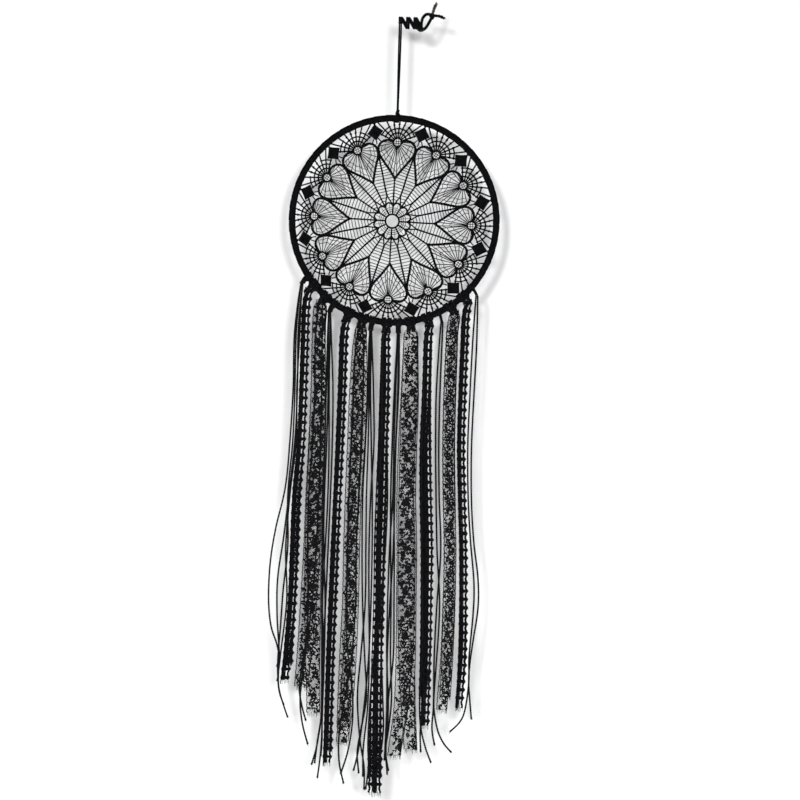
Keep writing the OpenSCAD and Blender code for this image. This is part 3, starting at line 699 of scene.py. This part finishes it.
def small_ring(rng):
    centre = np.array(NOTCH_RING)
    reach, inside, shift = 3.9, 3.4, 1.0
    angle = full_turn(40)
    ring = flat_line(centre[0] + reach * np.sin(angle), centre[1] + reach * np.cos(angle))
    parts = [tube(ring, 0.85, sides=9, flat=0.8, lobes=3, depth=0.14, pitch=3.1, closed=True)]
    for at in (-shift, shift):
        span = math.sqrt(inside ** 2 - at ** 2)
        for points in ([(-span, at), (span, at)], [(at, -span), (at, span)]):
            parts.append(drawn([centre + p for p in points], 0.55, rng, 0.05, 1.0, 6))
    crossings = [centre + (a, b) for a in (-shift, shift) for b in (-shift, shift)]
    parts.append(blobs(crossings, 0.6, 0.6, 0, 0.6, 6))
    return parts


def diamond(rng):
    """A solid worked square standing on its corner, its rows of stitches showing as ridges."""
    cells, half_diagonal = 18, 8.0
    a, b = np.meshgrid(np.linspace(-1, 1, cells), np.linspace(-1, 1, cells), indexing="ij")
    pull = 1 - 0.07 * (np.cos(a * np.pi / 2) * np.abs(b) + np.cos(b * np.pi / 2) * np.abs(a))
    u = (a + b) / 2 * half_diagonal * pull
    v = (a - b) / 2 * half_diagonal * pull
    rim = np.clip((1 - np.maximum(np.abs(a), np.abs(b))) * 6, 0.25, 1)
    rise = (0.5 + 0.16 * np.cos(a * np.pi * 4.5) + 0.05 * np.cos(b * np.pi * 8)) * rim
    middle = 0.913 * INNER_R
    c, s = math.cos(HALF), math.sin(HALF)
    x, z = u * c + (v + middle) * s, -u * s + (v + middle) * c
    top = np.stack([x, -rise, z], -1).reshape(-1, 3)
    under = np.stack([x, rise, z], -1).reshape(-1, 3)
    i, k = np.meshgrid(np.arange(cells - 1), np.arange(cells - 1), indexing="ij")
    corner, n = i * cells + k, cells * cells
    quad = np.stack([corner, corner + cells, corner + cells + 1, corner + 1], -1).reshape(-1, 4)
    step = np.arange(cells - 1)
    edge = np.concatenate([step * cells, (cells - 1) * cells + step, n - 1 - step * cells, cells - 1 - step])
    after = np.roll(edge, -1)
    side = np.stack([edge, after, after + n, edge + n], -1)
    body = (np.vstack([top, under]), np.vstack([quad[:, ::-1], quad + n, side]))

    def near(du, dv):
        return (du * c + (dv + middle) * s, -du * s + (dv + middle) * c)
    parts = [body]
    parts.append(drawn([near(0, -7.6), near(0, -11.5)], 1.1, rng))
    for du in (-1.6, 0, 1.6):
        parts.append(drawn([near(du * 0.2, 7.4), near(du, INNER_R - middle + 0.6)], 0.8, rng, 0.03))
    return parts


def petal_threads(rng):
    """The star's arms, the arches round the middle, the heart's outline and what ties them together."""
    node, tip, split = spot(NODE_R, 0), spot(HEART[0][0] * INNER_R, 0), spot(SPLIT_R, HALF)
    arch = [spot(NODE_R + 3 * math.sin(math.pi * f), 2 * HALF * f) for f in (0.25, 0.5, 0.75)]
    parts = [
        drawn([spot(6.7, 0), node], 1.5, rng),
        drawn([node, tip], 1.5, rng),
        drawn([node] + arch + [spot(NODE_R, 2 * HALF)], 1.6, rng, 0.04),
        drawn([split] + [spot(r, HALF) for r in (34, 45, 56, 66.4)], 1.6, rng),
        blobs([node, tip, split], [1.3, 1.6, 1.1], [1.1, 1.3, 1.0], 0, 0.75, 8),
    ]
    for r in (8.7, 10.5, 12.4):
        parts.append(drawn([spot(r, 0), spot(r + 0.5, HALF), spot(r, 2 * HALF)], 0.6, rng, 0.12, 1.2, 5))
    parts.append(drawn([spot(7, HALF * 0.8), spot(17, HALF * 1.15)], 0.4, rng, 0.1, 1.2, 4))
    for side in (-1, 1):
        parts.append(drawn([node, spot(SPLIT_R, side * HALF)], 1.3, rng))
        line = heart_line(side)
        parts.append(drawn(np.vstack([line[::4], line[-1:]]), 2.3, rng, 0.05, 0.55, 9, lobes=3, depth=0.16,
                           pitch=4.2, turn=rng.uniform(0, 6)))
        lobe, shoulder = spot(0.81 * INNER_R, side * HALF * 0.78), spot(0.85 * INNER_R, side * HALF * 0.9)
        parts.append(drawn([lobe, shoulder], 1.1, rng, 0.02))
    return parts


def make_doily(material):
    """Twelve heart petals round a star, all a little uneven, as handwork is."""
    angle, eye = full_turn(60), 6.45
    ring = flat_line(eye * np.sin(angle), eye * np.cos(angle))
    parts = [tube(ring, 0.85, sides=9, lobes=3, depth=0.16, pitch=2.7, closed=True)]
    for petal in range(PETALS):
        rng = np.random.default_rng(100 + petal)
        points, faces = joined(petal_threads(rng) + heart_filling(rng) + rungs(rng) + net_fan(rng)
                               + small_ring(rng) + diamond(rng))
        x, y, z = points.T
        c, s = math.cos(petal * 2 * HALF), math.sin(petal * 2 * HALF)
        parts.append((np.stack([x * c + z * s, y, -x * s + z * c], 1), faces))
    points, faces = joined(parts)
    x, y, z = points.T
    slack = 0.35 * np.sin(x / 31.0) * np.cos(z / 27.0)
    # it hangs a little off the middle and turned, while its edge stays tied to the rim
    pull = 1 - np.minimum(np.hypot(x, z) / INNER_R, 1) ** 6
    x, z = x - 1.8 * pull, z - 0.9 * pull
    c, s = math.cos(math.radians(1.6)), math.sin(math.radians(1.6))
    points = np.stack([x * c + z * s, PLANE_Y + y + slack, HOOP_Z - x * s + z * c], 1)
    mount(make_piece("doily_crochet", [(points, faces)], material), "hoop", "crochet_doily")


# --- knots of the fringe on the rim ---

def on_rim(points, angle):
    """Points (along the rim, fore and aft, outward) beside a knot, in the frame."""
    p = np.atleast_2d(np.array(points, float))
    c, s = math.cos(angle), math.sin(angle)
    reach = RIM_R + p[:, 2]
    return np.stack([reach * s + p[:, 0] * c, PLANE_Y + p[:, 1], HOOP_Z - reach * c + p[:, 0] * s], 1)


def larks_head(tassel, offsets, thick, rows, rng):
    """The folded middle laid over the rim, its two sides passed through it and pulled down."""
    angle = math.radians(TASSEL_ANGLES[tassel])
    c, s = math.cos(angle), math.sin(angle)
    plies = {"sides": 9, "lobes": 3, "depth": 0.12, "pitch": 3.3}
    hug = RIM_HALF + thick * 0.75
    parts = []
    turn = full_turn(36)
    for t in offsets:
        loop = np.stack([t + 0.25 * np.sin(turn), -hug * np.cos(turn), hug * np.sin(turn)], 1)
        parts.append(tube(on_rim(loop, angle), thick * rng.uniform(0.92, 1.08), up=(c, 0, s), closed=True,
                          **plies))
    width = max(offsets) + thick
    q = np.linspace(-1.7, 1.7, 17)
    for row in range(rows):
        out = 0.6 + row * thick * 1.5
        front = math.sqrt((hug + thick) ** 2 - out ** 2)
        bar = np.stack([width * np.sin(q * 0.92), -(front - 0.9 + 1.2 * np.cos(q * 0.8)) + 0 * q,
                        out + 0.5 * np.cos(q)], 1)
        parts.append(tube(on_rim(bar, angle), thick * 0.95, up=(s, 0.0, -c), **plies))
    pivot = pivot_of(tassel)
    for t in offsets:
        for side in (-1, 1):
            top = on_rim([(t * 0.9, side * (hug - 0.6), 2.2), (t * 0.8, side * 1.9, 4.6)], angle)
            end = pivot + np.array([t * 0.85, side * 1.15, -2.4])
            leg = smooth(np.vstack([top, end]), 0.7)
            parts.append(tube(leg, thick * 1.05, sides=8, lobes=3, depth=0.12, pitch=3.6))
    return parts


def make_knots(lace_material, cord_material):
    """Each knot's strands lie beside each other on the rim, at these distances from its middle."""
    trim_strands = (-4.0, -2.65, -1.3, 1.3, 2.65, 4.0)
    four_cords, two_cords = (-2.25, -0.85, 0.85, 2.25), (-0.8, 0.8)
    lace_parts, cord_parts = [], []
    for tassel in TASSEL_ANGLES:
        rng = np.random.default_rng(300 + tassel)
        if tassel in CORD_TASSELS:
            strands = two_cords if tassel in (12, 15) else four_cords
            cord_parts += larks_head(tassel, strands, 0.66, 2, rng)
        else:
            lace_parts += larks_head(tassel, trim_strands, 0.8, 3, rng)
    mount(make_piece("lace_knots", lace_parts, lace_material), "hoop", "lace_loops")
    mount(make_piece("cord_knots", cord_parts, cord_material), "hoop", "cord_loops")


# --- lace trims: worked flat in u across, h out of the face and s down the length, then hung ---

PICOT_STEP = 7.8        # from one eyelet of a trim to the next
EMBROIDERY = 0.36       # radius of the cord that outlines the lace's pattern
LIFT = 3.0              # height above the pivot at which a strip begins
NECK = 8.2              # width of a gathered strip at its knot
FLAT_WIDTHS = {"trim": 14.0, "lace_3": 16.5, "lace_6": 13.5, "lace_10": 18.5, "lace_13": 12.5}
LOOSE_LEAVES = {"lace_3": 24, "lace_6": 9, "lace_10": 19, "lace_13": 8}      # in each repeat of the pattern


def picot_trim(length, rng):
    """A plaited middle with a row of open eyelets and a scalloped, picoted edge on each side."""
    s = np.arange(0, length, 0.75)
    plait = 6.8
    parts = []
    for strand in range(3):
        beat = 2 * np.pi * (s / plait + strand / 3)
        line = np.stack([1.15 * np.sin(beat), 0.4 * np.sin(2 * beat), s], 1)
        parts.append(tube(line, 0.95, sides=6, flat=0.55, lobes=2, depth=0.1, pitch=2.2))
    bars = np.arange(PICOT_STEP / 2, length - 2, PICOT_STEP)
    ripple = np.cos(2 * np.pi * (s - bars[0]) / PICOT_STEP)
    bar_places, bar_widths = (1.6, 2.4, 3.5, 4.7, 5.5), np.array([2.1, 1.65, 1.4, 1.7, 1.95])
    for side in (-1, 1):
        edge = flat_line(side * (5.0 + 0.5 * ripple), s)
        parts.append(tube(edge, 0.95, sides=6, flat=0.5, lobes=2, depth=0.14, pitch=2.4))
        inner = flat_line(side * (2.35 + 0.15 * ripple), s)
        parts.append(tube(inner, 0.4, sides=5, flat=0.6))
        for at in bars:
            at += rng.normal(0, 0.12)
            bar = np.array([(side * u, 0, at) for u in bar_places])
            parts.append(tube(bar, bar_widths * rng.uniform(0.88, 1.2), sides=8, flat=0.38))
            tip = 6.8 + rng.normal(0, 0.15)
            picot = [(5.3, -1.8), (6.0, -1.0), (tip, 0), (6.0, 1.0), (5.3, 1.8)]
            line = smooth([(side * u, 0, at + v) for u, v in picot], 0.7)
            parts.append(tube(line, 0.42, sides=5, flat=0.7))
    return parts


def tulle(width, length, rng):
    """Fine net: threads that zigzag down side by side and meet their neighbours at every bend."""
    pitch, drop, thick = 1.0, 0.8, 0.18
    s = np.arange(0, length, drop)
    zig = np.where(np.arange(len(s)) % 2, 0.5, -0.5) * pitch
    parts = []
    for k, u in enumerate(np.arange(-width / 2 + 0.9, width / 2 - 0.4, pitch)):
        line = flat_line(u + (zig if k % 2 else -zig), s + rng.normal(0, 0.03, len(s)))
        parts.append(tube(line, thick, sides=3))
    return parts


def flower(u, s, size, rng):
    """Six petals round an open middle."""
    angles = rng.uniform(0, 1) + np.arange(6) * np.pi / 3
    places = [(u + 1.62 * size * math.cos(a), s + 1.62 * size * math.sin(a)) for a in angles]
    ring = full_turn(14)
    eye = flat_line(u + 0.72 * size * np.cos(ring), s + 0.72 * size * np.sin(ring))
    return [blobs(places, 1.25 * size, 0.9 * size, angles, 0.34), tube(eye, EMBROIDERY, sides=5, closed=True)]


def sprig(stem, rng, leaf, spacing, reach):
    """A stem with leaves set on both of its sides in turn."""
    line = smooth(stem, 0.8)
    parts = [tube(line, 0.38, sides=5, flat=0.8)]
    count = max(2, int(steps_of(line).sum() / spacing))
    picks = np.linspace(2, len(line) - 2, count).astype(int)
    places, turns = [], []
    for k, i in enumerate(picks):
        along = unit(line[min(i + 1, len(line) - 1)] - line[i - 1])
        heading = math.atan2(along[2], along[0]) + (0.85 if k % 2 else -0.85) + rng.normal(0, 0.12)
        places.append((line[i][0] + reach * math.cos(heading), line[i][2] + reach * math.sin(heading)))
        turns.append(heading)
    parts.append(blobs(places, leaf * 1.15, leaf * 0.58, np.array(turns), 0.3))
    return parts


def scroll(u, s, side):
    """A small spiral tendril."""
    t = np.linspace(0, 1, 16)
    a = side * (0.4 + t * 4.6)
    r = 1.7 * (1 - 0.72 * t)
    return [tube(flat_line(u + r * np.cos(a), s + r * np.sin(a)), EMBROIDERY, sides=5)]


def floral_lace(width, length, leaves, rng):
    """Tulle embroidered with flowers, leafy stems and scrolls, with a beaded edge on each side."""
    half = width / 2
    parts = tulle(width, length, rng)
    s = np.arange(0, length, 0.9)
    beads = np.arange(0.8, length - 0.5, 1.75)
    scallop, depth = 5.25, 0.22
    for side in (-1, 1):
        edge = flat_line(side * (half - 0.35 + depth * np.sin(2 * np.pi * s / scallop)), s)
        parts.append(tube(edge, EMBROIDERY, sides=5))
        places = [(side * (half - 0.35 + depth * math.sin(2 * math.pi * b / scallop)), b) for b in beads]
        parts.append(blobs(places, 0.72, 0.6, np.pi / 2, 0.36, 6))
    repeat = 21.0
    start = rng.uniform(-12, -2)
    while start < length:
        lean = 1 if int(round(start / repeat)) % 2 else -1
        mid = lean * half * 0.14
        parts += flower(mid, start + 5, min(1.25, half / 5.6), rng)
        parts += sprig([(mid, 0, start + 8), (mid + lean * half * 0.42, 0, start + 12),
                        (mid - lean * half * 0.1, 0, start + 17), (-mid, 0, start + 22.5)],
                       rng, 1.35, 2.1, 1.5)
        parts += sprig([(mid - lean * 1.5, 0, start + 6.5), (-lean * half * 0.55, 0, start + 10),
                        (-lean * half * 0.62, 0, start + 14.5)], rng, 1.15, 2.0, 1.25)
        parts += sprig([(mid + lean * 1.5, 0, start + 3), (lean * half * 0.62, 0, start - 1),
                        (lean * half * 0.58, 0, start - 5)], rng, 1.1, 2.2, 1.2)
        parts += scroll(lean * half * 0.5, start + 16.5, lean) + scroll(-lean * half * 0.5, start + 2, -lean)
        places = [(rng.uniform(-half + 1.6, half - 1.6), start + rng.uniform(0, repeat))
                  for _ in range(leaves)]
        parts.append(blobs(places, 1.7, 0.95, rng.uniform(0, 3.1, leaves), 0.26))
        start += repeat
    points, faces = joined(parts)
    points[:, 0] = np.clip(points[:, 0], -half - 0.2, half + 0.2)
    keep = (points[faces][:, :, 2].min(1) > -0.5) & (points[faces][:, :, 2].max(1) < length + 0.5)
    used, index = np.unique(faces[keep], return_inverse=True)
    return [(points[used], index.reshape(-1, 4))]


def folded(u, start, radius, angle):
    """Where a point goes when the strip folds back beyond start: across, back, and the way its face turns."""
    over = np.maximum(u - start, 0)
    bent = np.minimum(over / radius, angle)
    rest = np.maximum(over - radius * angle, 0)
    across = np.minimum(u, start) + radius * np.sin(bent) + rest * np.cos(bent)
    back = radius * (1 - np.cos(bent)) + rest * np.sin(bent)
    return across, back, bent


def at_levels(values, z):
    """A row of values, one for each of LEVELS, read at heights z."""
    line = smooth([(v, 0, level) for v, level in zip(values, LEVELS)], 2.0)
    return np.interp(z, line[:, 2], line[:, 0])


def hang(parts, name, front, flat_width, side, phase):
    """The flat strip gathered at its knot, hung along its line and folded to its seen width."""
    points, faces = joined(parts)
    widths, front_x, back_x = TRIMS[name][:3]
    pivot = pivot_of(tassel_of(name))
    u, h, s = points.T
    z = pivot[2] + LIFT - s
    neck_end, line_reached = 10.5, 26.0         # distances down the strip
    away = eased(np.clip(s / line_reached, 0, 1))
    x_line = pivot[0] + (at_levels(front_x if front else back_x, z) - pivot[0]) * away
    spread = eased(np.clip((s - 1.5) / (neck_end - 1.5), 0, 1))
    narrow = NECK / flat_width + (1 - NECK / flat_width) * spread
    show = at_levels(widths, z)
    layer, radius = (-1, 2.1) if front else (1, 0.9)
    squeeze = np.interp(flat_width - show, [0.5, 3], [1.0, 0.5])
    start = np.clip(show - flat_width / 2 - radius, -flat_width / 2, flat_width / 2)
    angle = 2.0 * np.clip((flat_width - show) / 3.5, 0.02, 1) * spread
    across, back, bent = folded(u * narrow, start, radius, np.maximum(angle, 0.02))
    middle = (-flat_width / 2 * narrow + np.minimum(start + radius * np.sin(np.minimum(angle, np.pi / 2)),
                                                    flat_width / 2)) / 2 * spread
    pleat = 0.9 * (1 - spread) * np.sin(u * 2 * np.pi / 3.6 + phase)
    wave = 0.6 * (np.sin(s / 23.0 + phase) + 0.5 * np.sin(s / 9.7 + 2 * phase) * u / flat_width) * spread
    gap = 1.6 * squeeze * spread + 1.0 * (1 - spread)
    x = x_line + side * (across - middle + h * np.sin(bent))
    y = PLANE_Y + layer * gap + back + pleat + wave * 0.5 + h * np.cos(bent)
    return np.stack([x, y, z], 1), faces


def fray(length, width, rng):
    """Loose threads that hang from the cut end."""
    parts = []
    for _ in range(26):
        u = rng.uniform(-width / 2, width / 2)
        long = rng.uniform(1.0, 4.2)
        sway = rng.normal(0, 0.5)
        thread = [(u, 0, length - 1.0), (u + sway * 0.5, rng.normal(0, 0.15), length + long / 2),
                  (u + sway, rng.normal(0, 0.3), length + long)]
        parts.append(tube(smooth(thread, 0.8), 0.12, sides=3))
    return parts


def make_trims(trim_material, lace_material):
    """Each strip hangs doubled from its knot: a front half and a back half, drawn flat and then hung."""
    for order, name in enumerate(TRIMS):
        is_trim = name.startswith("trim")
        width = FLAT_WIDTHS["trim" if is_trim else name]
        tassel = tassel_of(name)
        for front in (True, False):
            rng = np.random.default_rng(500 + order * 2 + front)
            end = TRIMS[name][3 if front else 4]
            length = pivot_of(tassel)[2] + LIFT - end - 2.0
            if is_trim:
                flat = picot_trim(length, rng)
            else:
                flat = floral_lace(width, length, LOOSE_LEAVES[name], rng)
            flat += fray(length, width - 2, rng)
            points, faces = hang(flat, name, front, width, 1 if order % 2 else -1, order * 1.3)
            node = name + ("_front" if front else "_back")
            material, slot = (trim_material, "crochet_trim") if is_trim else (lace_material, "net_lace")
            piece = make_piece(node + "_openwork", [(points, faces)], material)
            bend_at_knot(piece)
            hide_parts(node)


# --- hanging cord and the tie on the branch ---

HANGER_LOOP = [(14, -5.3, -1), (15.5, -5.3, -4.5), (19, -5.3, -7.5), (23.5, -5.5, -5.5), (27, -5.6, 0),
               (29, -5, 4.4)]
HANGER_RETURN = [(28.6, -5.2, 7.5), (26.5, -5.3, 8.1), (23.6, -5.4, 7.4), (20.9, -5.5, 4), (19.9, -5.5, -1),
                 (20, -5.4, -5.2)]
HANGER_TAILS = {
    "hanger_tail_a": [(30, -4.7, 8.4), (31, -5, 11.5), (31.8, -5.6, 14.5), (33, -6, 17.3)],
    "hanger_tail_b": [(31.6, -4.7, 6.6), (34.5, -5, 6.8), (37.5, -5.6, 6.2), (40, -6, 5.1)],
}
KNOT_PLACE = (29.9, 6.4)        # across and height of the tie
UPPER_END = -11.6               # where the strands below the first bend begin
KNOT_Z = -85.6                  # height of the small knot over the hoop


def twisted(line, radius=0.8, up=(0, 1, 0), turn=0.0, closed=False):
    return tube(line, radius, sides=12, up=up, lobes=3, depth=0.13, pitch=4.4, turn=turn, closed=closed)


def upright_strand(x, top, bottom, turn):
    """One of the two strands, which turn slowly round each other down to the hoop."""
    z = np.arange(top, bottom, -0.45)
    lean = 1.15 * np.clip((-12.0 - z) / 60, 0, 1)
    line = np.stack([x * np.cos(lean), PLANE_Y + x * np.sin(lean), z], 1)
    return twisted(line, turn=turn)


def make_hanging_cord(material):
    apart = 0.85
    drop = [upright_strand(side * apart, 1.6, -12.9, side) for side in (-1, 1)]
    mount(make_piece("cord_drop", drop, material), "cord_top", "hanging_cord_top")
    for side, name in ((-1, "left"), (1, "right")):
        strand = upright_strand(side * apart, UPPER_END, KNOT_Z - 0.8, side)
        mount(make_piece("cord_strand_" + name, [strand], material), "hanging_cord",
              "hanging_strand_" + name)


def make_ring_knot(material):
    """The doubled cord's hitch on the hoop and the small knot above it."""
    parts = []
    hug = RIM_HALF + 0.62
    turn = full_turn(44)
    for x in (-1.5, -0.1, 1.3):
        loop = np.stack([x + 0.35 * np.sin(turn), PLANE_Y - hug * np.cos(turn),
                         HOOP_Z + RIM_R + hug * np.sin(turn)], 1)
        parts.append(twisted(loop, 0.68, up=(1, 0, 0), closed=True))
    around = np.linspace(0, 2 * np.pi * 2.6, 90)
    winding = np.stack([1.15 * np.cos(around), PLANE_Y + 1.15 * np.sin(around),
                        KNOT_Z + 1.5 - 3.0 * around / around[-1]], 1)
    parts.append(twisted(winding, 0.62, up=(0, 0, 1)))
    cross = smooth([(-1.9, PLANE_Y - 0.9, KNOT_Z - 1.2), (-0.4, PLANE_Y - 2.0, KNOT_Z),
                    (1.0, PLANE_Y - 1.7, KNOT_Z + 1.0), (1.5, PLANE_Y - 0.2, KNOT_Z + 1.6)], 0.4)
    parts.append(twisted(cross, 0.62))
    for side in (-1, 1):
        parts.append(upright_strand(side * 0.8, KNOT_Z + 1.0, HOOP_Z + RIM_R + RIM_HALF - 0.4, side))
    mount(make_piece("ring_hitch", parts, material), "hoop", "ring_knot")


def branch_coil():
    """Two strands side by side, wound round the branch and stepping along it at the back."""
    grip = 4.95         # from the branch's axis to the middle of a strand
    turn = np.linspace(-0.35, 5.5 * np.pi + 0.6, 330)
    whole, part = np.divmod((turn + np.pi / 2) / (2 * np.pi), 1)
    along = np.interp(whole + eased(np.clip((part - 0.42) / 0.58, 0, 1)), range(4), (0, 7, 14, 20))
    return [twisted(np.stack([along + side * 0.95, -grip * np.cos(turn), grip * np.sin(turn)], 1), 0.95,
                    up=(1, 0, 0), turn=side) for side in (-1, 1)]


def loose_turn():
    """The doubled cord that swings out to the tie and back."""
    parts = []
    for corners in (HANGER_LOOP, HANGER_RETURN):
        line = smooth(corners, 0.4)
        sideways = unit(np.cross(unit(np.gradient(line, axis=0)), (0, 1, 0)))
        parts += [twisted(line + side * 0.7 * sideways, 0.72, turn=side) for side in (-1, 1)]
    return parts


def tie():
    """An overhand knot."""
    t = full_turn(120)
    size, x, z = 0.8, *KNOT_PLACE
    knot = np.stack([x + size * (np.sin(t) + 2 * np.sin(2 * t)) * 0.95, PLANE_Y - size * 1.25 * np.sin(3 * t),
                     z + size * (np.cos(t) - 2 * np.cos(2 * t)) * 0.95], 1)
    return [twisted(knot, 0.95, closed=True)]


def tail_end(tail, seed):
    """A tail that thickens to its frayed end."""
    line = smooth(np.vstack([[(KNOT_PLACE[0], PLANE_Y, KNOT_PLACE[1])], tail]), 0.4)
    thick = 1.3 + 0.25 * np.linspace(0, 1, len(line)) ** 3
    body = tube(line, thick, sides=12, lobes=2, depth=0.24, pitch=5.0, turn=seed)
    return [body] + cut_end(line, 1.1, 40 + seed, fibres=34, length=2.6)


def make_hanger(material, tail_material):
    pieces = [("branch_turns", branch_coil(), material, "hanger_coil"),
              ("loose_turn", loose_turn(), material, "hanger_loop"),
              ("tie_knot", tie(), material, "hanger_knot")]
    for seed, (node, tail) in enumerate(HANGER_TAILS.items()):
        pieces.append((node + "_frayed", tail_end(tail, seed), material if seed else tail_material, node))
    for name, parts, look, node in pieces:
        mount(make_piece(name, parts, look), "branch_hanger", node)


make_camera()
make_surroundings()
looks = make_materials()
make_fringe_cords(looks["wax"])
make_hanging_cord(looks["cord"])
make_ring_knot(looks["cord"])
make_hanger(looks["cord"], looks["tail"])
make_hoop_wrap(looks["tape"])
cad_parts["hoop_ring"].data.materials.clear()
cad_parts["hoop_ring"].data.materials.append(looks["steel"])
make_doily(looks["doily"])
make_knots(looks["trim"], looks["wax"])
make_trims(looks["trim"], looks["lace"])
